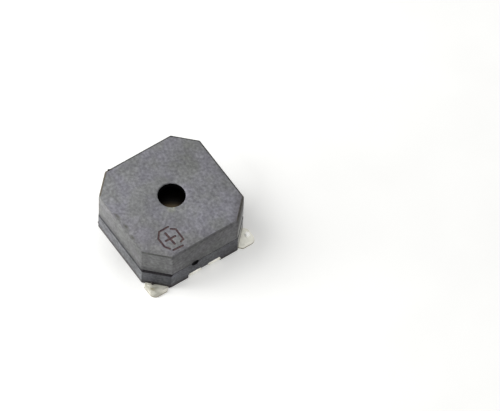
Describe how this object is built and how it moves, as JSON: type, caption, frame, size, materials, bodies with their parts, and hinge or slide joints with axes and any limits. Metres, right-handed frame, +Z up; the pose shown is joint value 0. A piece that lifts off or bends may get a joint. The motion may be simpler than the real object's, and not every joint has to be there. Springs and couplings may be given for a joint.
{
  "type": "smd magnetic buzzer",
  "caption": "Surface-mount magnetic buzzer: eight-sided moulded case with a central sound hole and polarity mark, on a base with tinned corner solder tabs.",
  "frame": {"origin": "middle of the solder plane under the four corner pads", "axes": "+Z up through the sound hole; +X and -Y meet at the corner of the plus terminal, which the polarity mark is beside; the tie-bar notches are on the -X and +X sides"},
  "size_m": [0.0088, 0.0088, 0.004],
  "materials": {
    "case_plastic": "matte moulded",
    "base_plastic": "matte moulded",
    "tin_plating": "satin tin plate",
    "seam_adhesive": "cured adhesive",
    "nickelled_iron": "bright plated",
    "film": "film",
    "enamelled_copper": "enamelled",
    "solder": "bright",
    "magnet": "plated",
    "clear_adhesive": "cured adhesive",
    "brass_ring": "turned",
    "diaphragm_foil": "rolled",
    "armature_iron": "yellow passivated"
  },
  "bodies": {
    "root": {"case": "case_plastic", "base": "base_plastic", "terminal_plus": "tin_plating", "terminal_minus": "tin_plating", "terminal_dummy": "tin_plating", "terminal_dummy_trimmed": "tin_plating", "seam_adhesive": "seam_adhesive", "yoke_plate": "nickelled_iron", "pole_core": "nickelled_iron", "coil_washer": "film", "coil_winding": "enamelled_copper", "coil_lead_plus": "enamelled_copper", "coil_lead_minus": "enamelled_copper", "solder_joint_plus": "solder", "solder_joint_minus": "solder", "ring_magnet": "magnet", "yoke_adhesive": "clear_adhesive", "support_ring": "brass_ring", "diaphragm": "diaphragm_foil", "armature_disc": "armature_iron"}
  },
  "joints": []
}
